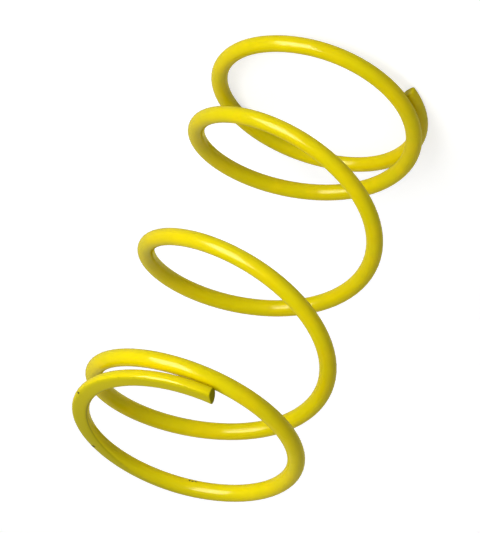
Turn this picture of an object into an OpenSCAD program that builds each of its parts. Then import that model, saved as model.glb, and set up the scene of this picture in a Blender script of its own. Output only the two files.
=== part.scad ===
// Coil compression spring, wound from one length of round wire.
// It stands on its bottom seat: the seat is the plane z = 0, the coil's axis is Z,
// and the bottom tip of the wire lies on the +X side.

/* [Wire] */
// Diameter of the wire
wire_d = 4.7; // [4:0.1:6]

/* [Coil] */
// Outside diameter of the coil
outside_d = 64; // [50:0.5:80]
// Free length, from one ground seat to the other
free_length = 120; // [90:1:180]
// Turns of wire from tip to tip
total_turns = 4.88; // [4.5:0.01:7]
// Direction in which the coil is wound
hand = "left"; // [left, right]

/* [Ends] */
// Turns that lie flat in the seat at each end, from the tip
seat_turns = 0.3; // [0.2:0.05:0.4]
// Turns over which the wire then lifts out of the seat, to pass its own tip
lift_turns = 0.5; // [0.4:0.05:0.6]
// Turns over which the coil then opens to its full pitch
opening_turns = 0.7; // [0.6:0.05:1]
// Thickness of wire that the grinding leaves at each tip
tip_thickness = 3.6; // [2.4:0.1:4.2]
// Lean of the cut across the wire, which leaves the outer side longer at the bottom tip
cut_lean = 24; // [0:1:30]
// Gap between each tip and the coil beside it
tip_gap = 0.1; // [0.05:0.05:0.4]

/* [Smoothness] */
// Sides of the wire's section
wire_sides = 16; // [12:4:20]
// Rings of points along each turn of wire
rings_per_turn = 44; // [32:1:52]

/* [Hidden] */
yellow_enamel = [0.90, 0.82, 0.03];

wire_r = wire_d / 2;
mean_r = (outside_d - wire_d) / 2;
turn_sign = hand == "left" ? -1 : 1;

// A smooth step from 0 to 1 as x goes from 0 to 1, its slope, and the area under it up to x
function step(x) = let (u = min(max(x, 0), 1)) u * u * (3 - 2 * u);
function step_slope(x) = let (u = min(max(x, 0), 1)) 6 * u * (1 - u);
function step_area(x) = let (u = min(max(x, 0), 1)) pow(u, 3) - pow(u, 4) / 2 + max(x - 1, 0);

// How far the wire has lifted out of its seat, t turns from its tip, from 0 to 1,
// and how many turns it has made there at the full pitch, each with its rate per turn
closed_turns = seat_turns + lift_turns;
function lifted(t) = step((t - seat_turns) / lift_turns);
function lift_rate(t) = step_slope((t - seat_turns) / lift_turns) / lift_turns;
function opened(t) = opening_turns * step_area((t - closed_turns) / opening_turns);
function opening_rate(t) = step((t - closed_turns) / opening_turns);

// The centre line climbs by rise from tip to tip, and by first_climb over the first turn,
// which lays each tip beside the next coil. The full pitch and the lift follow from these.
tip_z = tip_thickness - wire_r;
rise = free_length - 2 * tip_z;
first_climb = wire_d + tip_gap;
pitched_turns = 2 * opened(total_turns) - total_turns;
pitch = (rise - 2 * first_climb) / (pitched_turns - 2 * opened(1));
lift = first_climb - pitch * opened(1);

// Height of the wire's centre line, t turns from the bottom tip, the same from both ends,
// and its slope there, as an angle
function climbed(t) = lift * lifted(t) + pitch * (opened(t) - t / 2);
function climb_rate(t) = lift * lift_rate(t) + pitch * (opening_rate(t) - 1 / 2);
function centre_z(t) = free_length / 2 + climbed(t) - climbed(total_turns - t);
function centre_slope(t) = atan((climb_rate(t) + climb_rate(total_turns - t)) / (2 * PI * mean_r));

// Ring of points around the wire, t turns from the bottom tip, leaning by an angle from square to it
function wire_ring(t, lean) =
    let (
        turned = turn_sign * 360 * t,
        slope = centre_slope(t),
        outward = [cos(turned), sin(turned), 0],
        along = turn_sign * [-sin(turned), cos(turned), 0],
        upward = turn_sign * ([0, 0, cos(slope)] - sin(slope) * along),
        centre = mean_r * outward + [0, 0, centre_z(t)]
    )
    [for (side = [0 : wire_sides - 1])
        let (a = 360 * side / wire_sides)
        centre + wire_r * (cos(a) * (outward - tan(lean) * along) + sin(a) * upward)];

// Round wire along the whole coil, cut off at both tips, before its ends are ground
module wound_wire() {
    steps = ceil(total_turns * rings_per_turn);
    rings = [for (i = [0 : steps])
        wire_ring(total_turns * i / steps, i == 0 || i == steps ? cut_lean : 0)];
    sides = [0 : wire_sides - 1];
    function at(i, side) = i * wire_sides + side % wire_sides;
    walls = [for (i = [0 : steps - 1], s = sides)
        each [[at(i, s), at(i, s + 1), at(i + 1, s + 1)], [at(i, s), at(i + 1, s + 1), at(i + 1, s)]]];
    bottom_tip = [for (s = sides) at(0, wire_sides - 1 - s)];
    top_tip = [for (s = sides) at(steps, s)];
    polyhedron([for (ring = rings) each ring], concat([bottom_tip], walls, [top_tip]));
}

// Everything between the two ground seats
module between_seats() {
    span = outside_d + 2 * wire_d;
    translate([-span / 2, -span / 2, 0]) cube([span, span, free_length]);
}

module coil_spring() {
    color(yellow_enamel)
    intersection() {
        wound_wire();
        between_seats();
    }
}

coil_spring();
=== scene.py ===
import math

import bpy
import numpy as np
from mathutils import Matrix, Vector


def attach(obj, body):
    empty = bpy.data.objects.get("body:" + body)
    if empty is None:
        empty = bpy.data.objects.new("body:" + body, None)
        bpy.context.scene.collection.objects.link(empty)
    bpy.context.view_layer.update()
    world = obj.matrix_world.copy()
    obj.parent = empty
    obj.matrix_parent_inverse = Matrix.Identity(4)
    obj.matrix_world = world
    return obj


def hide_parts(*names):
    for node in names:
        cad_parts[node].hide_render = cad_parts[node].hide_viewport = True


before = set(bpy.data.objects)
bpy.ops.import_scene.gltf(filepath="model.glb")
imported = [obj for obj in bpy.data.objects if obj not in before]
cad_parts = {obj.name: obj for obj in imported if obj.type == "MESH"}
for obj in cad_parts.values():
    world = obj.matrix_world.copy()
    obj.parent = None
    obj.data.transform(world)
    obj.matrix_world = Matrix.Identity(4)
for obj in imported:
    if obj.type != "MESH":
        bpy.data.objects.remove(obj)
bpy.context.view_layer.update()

MM = 0.001

# Sizes of the spring, as its solid has them: lengths in millimetres, turns of wire and the cut's lean
WIRE_D = 4.7
OUTSIDE_D = 64.0
FREE_LENGTH = 120.0
TOTAL_TURNS = 4.88
SEAT_TURNS = 0.3
LIFT_TURNS = 0.5
OPENING_TURNS = 0.7
TIP_THICKNESS = 3.6
CUT_LEAN = math.radians(24)
TIP_GAP = 0.1

WIRE_R = WIRE_D / 2
MEAN_R = (OUTSIDE_D - WIRE_D) / 2
TURN_LENGTH = 2 * math.pi * MEAN_R
CLOSED_TURNS = SEAT_TURNS + LIFT_TURNS

# How round the paint leaves the ground edges and the rims of the tips, and how far a cut's lean runs in
EDGE_BLEND = 1.2
TOP_RIM = 0.34
BOTTOM_RIM = 0.85
LEAN_LENGTH = 4.2

# How fine the painted wire is: points around it, rings along it and rings around a tip's rim.
# A tip's face has rings at shares of its inset. The first rings after a tip lie closer,
# at these distances from it, and the even ones start further on.
SIDES = 144
RINGS_PER_TURN = 76
RIM_RINGS = 6
FACE_SHARES = (0.9, 0.6, 0.3)
FACE_INSET = 1.2
FIRST_RINGS = np.array([1.0, 1.3, 1.7, 2.2, 3.0, 4.0])
EVEN_FROM = 5.2

# How far the flats' paint fades in at their edges, and how far the thin paint and the painted shade line
# reach from there
FLAT_FADE = 0.3
EDGE_REACH = 0.4
SHADE_LINE_REACH = 0.22

# Turns from a tip where the flat's paint begins to darken and where it is darkest,
# and the bands of turns with a rubbed crest, a painted shade line and a darker band of paint: start, full,
# fading, end
DARKENING_TURNS = (0.16, 0.40)
RUBBED_TURNS = (0.40, 0.46, 0.50, 0.57)
SHADE_LINE_TURNS = (0.20, 0.26, 0.37, 0.47)
DARKER_BAND_TURNS = (0.33, 0.42, 0.56, 0.68)

# How far down from the wire's crest it is rubbed, past the flat, where it bears on its seat under load
RUBBED_REACH = 0.15

# How far the darker band reaches down from the seat, and over how much of that it fades
DARKER_BAND_REACH = 4.8
DARKER_BAND_FADE = 4.0

# How sharply the painted shade line keeps to the inner side of the wire
INNER_SHARPNESS = 2

# How far in from a tip's rim its bare face is full, and how bare the bottom face is beside the top one
CUT_FADE = TOP_RIM / 2
BOTTOM_BARENESS = 0.35

# Rows that the wire is laid out in on its map, the share of a row's height that the wire fills,
# and the room at a row's two ends
MAP_ROWS = 8
ROW_FILL = 0.9
ROW_MARGIN = 0.03


def step(x):
    """A smooth step from 0 to 1 as x goes from 0 to 1."""
    u = np.clip(x, 0, 1)
    return u * u * (3 - 2 * u)


def step_slope(x):
    """The slope of the smooth step at x."""
    u = np.clip(x, 0, 1)
    return 6 * u * (1 - u)


def step_area(x):
    """The area under the smooth step up to x."""
    u = np.clip(x, 0, 1)
    return u ** 3 - u ** 4 / 2 + np.maximum(x - 1, 0)


def band(x, start, full, fading, end):
    """1 from full to fading, with a smooth rise from start and a smooth fall to end."""
    return step((x - start) / (full - start)) * step((end - x) / (end - fading))


def opened(t):
    """Turns made at the full pitch, t turns from a tip."""
    return OPENING_TURNS * step_area((t - CLOSED_TURNS) / OPENING_TURNS)


# The pitch and the lift follow from the other sizes, as they do in the solid
rise = FREE_LENGTH - 2 * (TIP_THICKNESS - WIRE_R)
first_climb = WIRE_D + TIP_GAP
pitched_turns = 2 * opened(TOTAL_TURNS) - TOTAL_TURNS
pitch = (rise - 2 * first_climb) / (pitched_turns - 2 * opened(1.0))
lift = first_climb - pitch * opened(1.0)


def climbed(t):
    """What one end adds to the wire's height, t turns from its tip."""
    return lift * step((t - SEAT_TURNS) / LIFT_TURNS) + pitch * (opened(t) - t / 2)


def climb_rate(t):
    """How much more that is per turn."""
    lifting = lift * step_slope((t - SEAT_TURNS) / LIFT_TURNS) / LIFT_TURNS
    return lifting + pitch * (step((t - CLOSED_TURNS) / OPENING_TURNS) - 1 / 2)


def round_wire(t, angles, inset=0.0, forward=0.0):
    """Points around the wire before grinding, t turns from the bottom tip.

    They are inset from the wire's skin and moved forward along it.
    """
    turned = -2 * math.pi * t
    slope = math.atan((climb_rate(t) + climb_rate(TOTAL_TURNS - t)) / TURN_LENGTH)
    outward = np.array([math.cos(turned), math.sin(turned), 0])
    along = np.array([math.sin(turned), -math.cos(turned), 0])
    upward = np.array([0, 0, math.cos(slope)]) - math.sin(slope) * along
    height = FREE_LENGTH / 2 + climbed(t) - climbed(TOTAL_TURNS - t)
    centre = MEAN_R * outward + np.array([0, 0, height]) + forward * along
    to_tip = min(t, TOTAL_TURNS - t) * TURN_LENGTH
    lean = math.tan(CUT_LEAN) * max(0.0, 1 - to_tip / LEAN_LENGTH)
    across = np.cos(angles)[:, None] * (outward - lean * along) + np.sin(angles)[:, None] * upward
    points = centre + (WIRE_R - inset) * across
    reach = np.hypot(points[:, 0], points[:, 1])
    points[:, :2] *= np.minimum(1, (OUTSIDE_D / 2 - inset) / reach)[:, None]
    return points


def least(a, b, blend):
    """The smaller of a and b, rounded where they meet."""
    nearness = np.maximum(blend - np.abs(a - b), 0) / blend
    return np.minimum(a, b) - nearness * nearness * blend / 4


def ground_off(points, inset):
    """The same points with the wire ground flat at both seats, inset as they are."""
    flat = points.copy()
    flat[:, 2] = least(flat[:, 2], FREE_LENGTH - inset, EDGE_BLEND)
    flat[:, 2] = -least(-flat[:, 2], -inset, EDGE_BLEND)
    return flat


def tip_rings(t, rim, inward):
    """Turns, inset and move forward of a tip's rings, from its face's middle to the end of its rim."""
    made = [(t, rim + share * (FACE_INSET - rim), 0.0) for share in FACE_SHARES]
    for angle in np.linspace(math.pi / 2, 0, RIM_RINGS):
        made.append((t, rim * (1 - math.cos(angle)), inward * rim * (1 - math.sin(angle))))
    return made


# Rings along the whole wire: bottom tip, wire, top tip
starts = FIRST_RINGS / TURN_LENGTH
even = EVEN_FROM / TURN_LENGTH
evenly = np.linspace(even, TOTAL_TURNS - even, round(TOTAL_TURNS * RINGS_PER_TURN))
turns = np.concatenate([starts, evenly, TOTAL_TURNS - starts[::-1]])
bottom_tip = tip_rings(0.0, BOTTOM_RIM, 1)
top_tip = tip_rings(TOTAL_TURNS, TOP_RIM, -1)[::-1]
ring_list = bottom_tip + [(t, 0.0, 0.0) for t in turns] + top_tip

around = 2 * math.pi * np.arange(SIDES) / SIDES
ring_turns = np.array([t for t, inset, forward in ring_list])
insets = np.array([inset for t, inset, forward in ring_list])
before = np.array([round_wire(t, around, inset, forward) for t, inset, forward in ring_list])
rings = np.array([ground_off(ring, inset) for ring, inset in zip(before, insets)])


def paint_marks():
    """How far each kind of paint covers each point of the rings, from 0 to 1, by name."""
    from_tip = np.minimum(ring_turns, TOTAL_TURNS - ring_turns)
    bareness = np.where(ring_turns > TOTAL_TURNS / 2, 1.0, BOTTOM_BARENESS)
    cut = bareness * np.clip(insets / CUT_FADE, 0, 1)
    darkened = step((from_tip - DARKENING_TURNS[0]) / (DARKENING_TURNS[1] - DARKENING_TURNS[0]))
    inner = step(1 / 2 - INNER_SHARPNESS * np.cos(around))

    # How deep each point lay in what was ground off, or less than 0 where it lay under that
    depth = np.maximum(before[..., 2] - FREE_LENGTH, -before[..., 2])
    ground = step(depth / FLAT_FADE + 1 / 2)
    under_crest = depth.max(1, keepdims=True) - depth
    rubbed = step(1 - under_crest / RUBBED_REACH) * band(from_tip, *RUBBED_TURNS)[:, None]
    return {
        "ground": ground,
        # Darker along the flat further from a tip, and where the crest is rubbed
        "darkened": np.maximum(ground * darkened[:, None], rubbed),
        "edge": np.clip(1 - np.abs(depth) / EDGE_REACH, 0, 1),
        # A painted shade line along the inner edge of each flat, over a band of turns
        "shade_line": np.exp(-(depth / SHADE_LINE_REACH) ** 2) * inner * band(from_tip, *SHADE_LINE_TURNS)[:, None],
        # A darker band of paint close under each seat, over a band of turns
        "darker_band": step((depth + DARKER_BAND_REACH) / DARKER_BAND_FADE) * band(from_tip, *DARKER_BAND_TURNS)[:, None],
        "cut": np.repeat(cut[:, None], SIDES, 1),
    }


def painted_coil():
    """The painted wire as one closed mesh, with its marks and its map."""
    count = len(rings)
    low = count * SIDES
    high = low + 1
    last = (count - 1) * SIDES
    points = np.concatenate([rings.reshape(-1, 3), [rings[0].mean(0), rings[-1].mean(0)]])
    along, side = np.meshgrid(np.arange(count - 1), np.arange(SIDES), indexing="ij")
    here = along * SIDES
    ahead = here + SIDES
    beside = (side + 1) % SIDES
    corners = [here + side, ahead + side, ahead + beside, here + beside]
    polygons = np.stack(corners, -1).reshape(-1, 4).tolist()
    for k in range(SIDES):
        polygons.append([low, k, (k + 1) % SIDES])
        polygons.append([high, last + (k + 1) % SIDES, last + k])

    mesh = bpy.data.meshes.new("painted_coil")
    mesh.from_pydata((points * MM).tolist(), [], polygons)
    mesh.shade_smooth()
    for name, values in paint_marks().items():
        mark = mesh.attributes.new(name, "FLOAT", "POINT")
        at_points = np.append(values.ravel(), [values[0].mean(), values[-1].mean()])
        mark.data.foreach_set("value", at_points.astype(np.float32))

    # The map: the wire unrolled, cut into rows of the same length and laid one above another
    travel = np.append(0, np.cumsum(np.linalg.norm(np.diff(rings, axis=0), axis=2).mean(1)))
    row = np.minimum((travel[:-1] / travel[-1] * MAP_ROWS).astype(int), MAP_ROWS - 1)
    row_start = np.array([travel[:-1][row == k].min() for k in range(MAP_ROWS)])
    row_length = (1 + 2 * ROW_MARGIN) * travel[-1] / MAP_ROWS

    def on_map(ring, side, to):
        u = ROW_MARGIN + (to - row_start[row[ring]]) / row_length
        v = (row[ring] + (1 - ROW_FILL) / 2 + ROW_FILL * side / SIDES) / MAP_ROWS
        return np.stack([u, v], -1)

    quads = [
        on_map(along, side, travel[along]),
        on_map(along, side, travel[along + 1]),
        on_map(along, side + 1, travel[along + 1]),
        on_map(along, side + 1, travel[along]),
    ]
    caps = []
    for k in range(SIDES):
        for ring, to, face_middle, sides in (
            (0, travel[0], travel[0] - FACE_INSET, (k, k + 1)),
            (count - 2, travel[-1], travel[-1] + FACE_INSET, (k + 1, k)),
        ):
            caps.append(on_map(ring, k + 1 / 2, face_middle))
            caps.append(on_map(ring, sides[0], to))
            caps.append(on_map(ring, sides[1], to))
    layout = np.concatenate([np.stack(quads, -2).reshape(-1, 2), caps])
    mesh.uv_layers.new(name="OFBake").uv.foreach_set("vector", layout.astype(np.float32).ravel())

    made = bpy.data.objects.new("painted_coil", mesh)
    bpy.context.scene.collection.objects.link(made)
    return made


coil = painted_coil()
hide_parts("coil_spring")
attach(coil, "root")


def add(tree, kind, inputs, **settings):
    """Adds a node with these settings, and sets or links its inputs."""
    made = tree.nodes.new(kind)
    for name, value in settings.items():
        setattr(made, name, value)
    for key, value in inputs.items():
        if isinstance(value, bpy.types.NodeSocket):
            tree.links.new(value, made.inputs[key])
        else:
            made.inputs[key].default_value = value
    return made


def math_node(tree, operation, a, b):
    return add(tree, "ShaderNodeMath", {0: a, 1: b}, operation=operation).outputs[0]


def ramp(tree, value, low, high, to_low=0.0, to_high=1.0):
    """The value as it goes from low to high, as a smooth step between two others."""
    inputs = {"Value": value, "From Min": low, "From Max": high, "To Min": to_low, "To Max": to_high}
    return add(tree, "ShaderNodeMapRange", inputs, interpolation_type="SMOOTHSTEP").outputs["Result"]


def noise(tree, place, spots, detail):
    """Noise whose spots are about this size in millimetres."""
    inputs = {"Vector": place, "Scale": 1 / (spots * MM), "Detail": detail}
    return add(tree, "ShaderNodeTexNoise", inputs).outputs["Fac"]


def mix_colour(tree, share, a, b):
    return add(tree, "ShaderNodeMix", {0: share, 6: a, 7: b}, data_type="RGBA").outputs[2]


def attribute(tree, name):
    return add(tree, "ShaderNodeAttribute", {}, attribute_name=name).outputs["Fac"]


def new_material(name):
    """An empty node material, and its tree."""
    material = bpy.data.materials.new(name)
    material.use_nodes = True
    material.node_tree.nodes.clear()
    return material, material.node_tree


# Colours of the enamel: two hues that it wanders between, a darker band by the flats, the duller flats,
# the flats darker further from a tip and where rubbed, a painted shade line at their inner edges,
# the thin paint at their edges, the cut faces and the bare chips
GREENER = (0.825, 0.700, 0.001, 1)
WARMER = (0.875, 0.705, 0.001, 1)
DARKER_BAND_PAINT = (0.640, 0.545, 0.001, 1)
FLAT_PAINT = (0.700, 0.606, 0.001, 1)
DARKENED_PAINT = (0.525, 0.460, 0.001, 1)
SHADE_LINE_PAINT = (0.400, 0.350, 0.001, 1)
THIN_PAINT = (0.430, 0.370, 0.004, 1)
CUT_PAINT = (0.330, 0.310, 0.004, 1)
BARE = (0.045, 0.040, 0.020, 1)
CLOUDS = (0.98, 1.015)
THIN_COVER = 0.6

# Sizes in millimetres of the spots in hue, shade, gloss, thin paint and chip outlines,
# and of the runs and the orange peel
HUE_SPOTS = 9.0
CLOUD_SPOTS = 3.0
SMEAR_SPOTS = 5.0
PATCH_SPOTS = 1.6
RAGGED_SPOTS = 0.45
RUN_SPOTS = 8.0
PEEL_SPOTS = 1.5

# How much detail the noise has: in the runs and the peel, in hue, shade and chip outlines,
# and in gloss and thin paint
SMOOTH_DETAIL = 1.0
CLOUDY_DETAIL = 3.0
FINE_DETAIL = 4.0

# Which of the noise's values a whole change of looks spreads over: mostly, in hue and in thin paint
NOISE_SPAN = (0.3, 0.7)
HUE_SPAN = (0.35, 0.65)
PATCH_SPAN = (0.52, 0.68)

# Roughness of the gloss at its best and where it is smeared, then of flats, cuts and chips
GLOSS_ROUGH = 0.13
SMEAR_ROUGH = 0.20
FLAT_ROUGH = 0.34
CUT_ROUGH = 0.75
CHIP_ROUGH = 0.65

# How much the paint mirrors, and the coat over its colour, which bends no light and only tints it
SPECULAR = 0.10
COAT_ROUGH = 0.1
COAT_IOR = 1.0
COAT_TINT = (0.965, 0.955, 0.76, 1)

# Height of the orange peel in millimetres, and how many times that the runs and the chips measure
PEEL_HEIGHT = 0.012
RUN_HEIGHTS = 5.0
CHIP_DEPTHS = 4.0

# Chips in the paint: turns from the top tip, angle around the wire and half width in millimetres,
# then the share of that width that a ragged outline keeps at least and at most, and its softness
CHIPS = (
    (0.233, 31, 0.50),
    (0.378, 62, 0.48),
    (0.541, 207, 0.30),
    (0.546, 208, 0.34),
    (0.551, 210, 0.30),
)
CHIP_SHARES = (0.55, 1.35)
CHIP_SOFTNESS = 0.06


def chip_cover(tree, place):
    """1 inside a chip and 0 outside: spots with a ragged outline."""
    ragged = noise(tree, place, RAGGED_SPOTS, CLOUDY_DETAIL)
    cover = 0.0
    for turn, angle, half_width in CHIPS:
        on_wire = round_wire(TOTAL_TURNS - turn, np.array([math.radians(angle)]))
        centre = tuple(ground_off(on_wire, 0.0)[0] * MM)
        gap = add(tree, "ShaderNodeVectorMath", {0: place, 1: centre}, operation="DISTANCE").outputs["Value"]
        reaches = [share * half_width * MM for share in CHIP_SHARES]
        inside = math_node(tree, "SUBTRACT", ramp(tree, ragged, *NOISE_SPAN, *reaches), gap)
        spot = ramp(tree, inside, -CHIP_SOFTNESS * MM, CHIP_SOFTNESS * MM)
        cover = math_node(tree, "MAXIMUM", cover, spot)
    return cover


def yellow_enamel():
    """Glossy yellow enamel: a slightly uneven coat, duller on the flats, thin at the edges and chipped."""
    material, tree = new_material("yellow_enamel")
    place = add(tree, "ShaderNodeTexCoord", {}).outputs["Object"]
    on_flat = attribute(tree, "ground")
    on_cut = attribute(tree, "cut")
    chips = chip_cover(tree, place)

    # The coat wanders between two hues and is a little cloudy
    hue = ramp(tree, noise(tree, place, HUE_SPOTS, CLOUDY_DETAIL), *HUE_SPAN)
    clear = mix_colour(tree, hue, GREENER, WARMER)
    clouds = ramp(tree, noise(tree, place, CLOUD_SPOTS, CLOUDY_DETAIL), *NOISE_SPAN, *CLOUDS)
    shade = add(tree, "ShaderNodeCombineColor", {0: clouds, 1: clouds, 2: clouds}).outputs[0]
    inputs = {0: 1.0, 6: clear, 7: shade}
    colour = add(tree, "ShaderNodeMix", inputs, data_type="RGBA", blend_type="MULTIPLY").outputs[2]

    # Thin paint lies in broken patches along the ground edges
    patches = ramp(tree, noise(tree, place, PATCH_SPOTS, FINE_DETAIL), *PATCH_SPAN, 0.0, THIN_COVER)
    thin = math_node(tree, "MULTIPLY", attribute(tree, "edge"), patches)
    # Over the coat go a darker band by the flats, the duller flats, their darkening and rubbed crests, a
    # painted shade line at their inner edges, thin paint, the cut faces and the chips
    for cover, paint in (
        (attribute(tree, "darker_band"), DARKER_BAND_PAINT),
        (on_flat, FLAT_PAINT),
        (attribute(tree, "darkened"), DARKENED_PAINT),
        (attribute(tree, "shade_line"), SHADE_LINE_PAINT),
        (thin, THIN_PAINT),
        (on_cut, CUT_PAINT),
        (chips, BARE),
    ):
        colour = mix_colour(tree, cover, colour, paint)

    # The gloss is smeared, and duller on flats, cuts and chips
    smears = noise(tree, place, SMEAR_SPOTS, FINE_DETAIL)
    rough = ramp(tree, smears, *NOISE_SPAN, GLOSS_ROUGH, SMEAR_ROUGH)
    for cover, roughness in ((on_flat, FLAT_ROUGH), (on_cut, CUT_ROUGH), (chips, CHIP_ROUGH)):
        rough = math_node(tree, "MAXIMUM", rough, math_node(tree, "MULTIPLY", cover, roughness))

    # Long waves where the paint ran, fine orange peel, and the step down into a chip
    runs = math_node(tree, "MULTIPLY", noise(tree, place, RUN_SPOTS, SMOOTH_DETAIL), RUN_HEIGHTS)
    height = math_node(tree, "ADD", runs, noise(tree, place, PEEL_SPOTS, SMOOTH_DETAIL))
    height = math_node(tree, "SUBTRACT", height, math_node(tree, "MULTIPLY", chips, CHIP_DEPTHS))
    bump = add(tree, "ShaderNodeBump", {"Height": height, "Strength": 1.0, "Distance": PEEL_HEIGHT * MM})

    # The coat tints the colour most where it is seen at a slant
    inputs = {
        "Base Color": colour,
        "Roughness": rough,
        "Normal": bump.outputs["Normal"],
        "Specular IOR Level": SPECULAR,
        "Coat Weight": 1.0,
        "Coat Roughness": COAT_ROUGH,
        "Coat IOR": COAT_IOR,
        "Coat Tint": COAT_TINT,
    }
    surface = add(tree, "ShaderNodeBsdfPrincipled", inputs).outputs["BSDF"]
    add(tree, "ShaderNodeOutputMaterial", {"Surface": surface})
    return material


coil.data.materials.append(yellow_enamel())

# The floor: its size in metres, how much light its paper throws back, and how far it glows to look white
FLOOR_SIZE = 12
PAPER = (0.54, 0.54, 0.54, 1)
PAPER_GLOW = 0.71
WHITE = (1, 1, 1, 1)


def seen_rays(tree):
    """1 for rays from the camera and in gloss or glass, and 0 for light that spreads."""
    path = add(tree, "ShaderNodeLightPath", {}).outputs
    seen = math_node(tree, "MAXIMUM", path["Is Camera Ray"], path["Is Glossy Ray"])
    return math_node(tree, "MAXIMUM", seen, path["Is Transmission Ray"])


def white_paper():
    """Matt floor paper that shows white to the camera and in gloss, and still takes the shadow."""
    material, tree = new_material("white_paper")
    matt = add(tree, "ShaderNodeBsdfDiffuse", {"Color": PAPER}).outputs["BSDF"]
    strength = math_node(tree, "MULTIPLY", seen_rays(tree), PAPER_GLOW)
    glow = add(tree, "ShaderNodeEmission", {"Color": WHITE, "Strength": strength}).outputs["Emission"]
    both = add(tree, "ShaderNodeAddShader", {0: matt, 1: glow}).outputs["Shader"]
    add(tree, "ShaderNodeOutputMaterial", {"Surface": both})
    return material


bpy.ops.mesh.primitive_plane_add(size=FLOOR_SIZE)
floor = bpy.context.object
floor.name = "floor"
floor.data.materials.append(white_paper())

# Camera fitted to the photograph's viewing angle: the spring's top end is nearest, and low in the frame.
# Angles in radians, places in millimetres from the middle of the spring, and the picture in pixels.
AZIMUTH = math.radians(47.132)
ELEVATION = 0.5269
ROLL = 3.5203
DISTANCE = 809.233
ASIDE = -4.2388
ABOVE = -0.5352
FOCAL_PX = 2932.89
FRAME_HEIGHT_PX = 533

# The sensor's longer side in millimetres, and the nearest and farthest that the camera sees in metres
SENSOR = 36
CLIP_NEAR = 0.01
CLIP_FAR = 50


def direction(azimuth, elevation):
    """The way from the spring to a place at these angles, in radians."""
    level = math.cos(elevation)
    return Vector((math.cos(azimuth) * level, math.sin(azimuth) * level, math.sin(elevation)))


back = direction(AZIMUTH, ELEVATION)
right = Vector((-math.sin(AZIMUTH), math.cos(AZIMUTH), 0))
up = back.cross(right)
rolled_right = math.cos(ROLL) * right + math.sin(ROLL) * up
rolled_up = math.cos(ROLL) * up - math.sin(ROLL) * right
middle = Vector((0, 0, FREE_LENGTH / 2))
eye = middle + rolled_right * ASIDE + rolled_up * ABOVE + back * DISTANCE

camera_data = bpy.data.cameras.new("camera")
camera_data.sensor_width = SENSOR
camera_data.lens = FOCAL_PX / FRAME_HEIGHT_PX * SENSOR
camera_data.clip_start = CLIP_NEAR
camera_data.clip_end = CLIP_FAR
camera = bpy.data.objects.new("camera", camera_data)
bpy.context.scene.collection.objects.link(camera)
axes = Matrix((rolled_right, rolled_up, back)).transposed().to_4x4()
camera.matrix_world = Matrix.Translation(eye * MM) @ axes
bpy.context.scene.camera = camera


def soft_box(name, azimuth, elevation, distance, width, height, power):
    """A rectangular lamp that faces the middle of the spring: angles in degrees, sizes in metres."""
    data = bpy.data.lights.new(name, "AREA")
    data.shape = "RECTANGLE"
    data.size = width
    data.size_y = height
    data.energy = power
    lamp = bpy.data.objects.new(name, data)
    bpy.context.scene.collection.objects.link(lamp)
    towards = direction(math.radians(azimuth), math.radians(elevation))
    lamp.location = middle * MM + towards * distance
    lamp.rotation_euler = towards.to_track_quat("Z", "Y").to_euler()
    lamp.visible_camera = False
    return lamp


# One soft box at the side, the same box again in the gloss alone, and a weak fill
soft_box("key", azimuth=91, elevation=30, distance=0.9, width=0.54, height=0.80, power=7.7)
shine = soft_box("shine", azimuth=93, elevation=28, distance=0.9, width=0.60, height=0.78, power=42.0)
shine.visible_diffuse = False
fill = soft_box("fill", azimuth=291, elevation=37, distance=1.2, width=1.0, height=1.0, power=1.2)
fill.visible_glossy = False

# The room's even light, white where it is seen
ROOM_LIGHT = 0.285
room = bpy.data.worlds.new("room")
bpy.context.scene.world = room
room.use_nodes = True
room.node_tree.nodes.clear()
room_strength = math_node(room.node_tree, "MAXIMUM", seen_rays(room.node_tree), ROOM_LIGHT)
room_glow = add(room.node_tree, "ShaderNodeBackground", {"Color": WHITE, "Strength": room_strength})
add(room.node_tree, "ShaderNodeOutputWorld", {"Surface": room_glow.outputs["Background"]})

bpy.context.scene.view_settings.view_transform = "Standard"
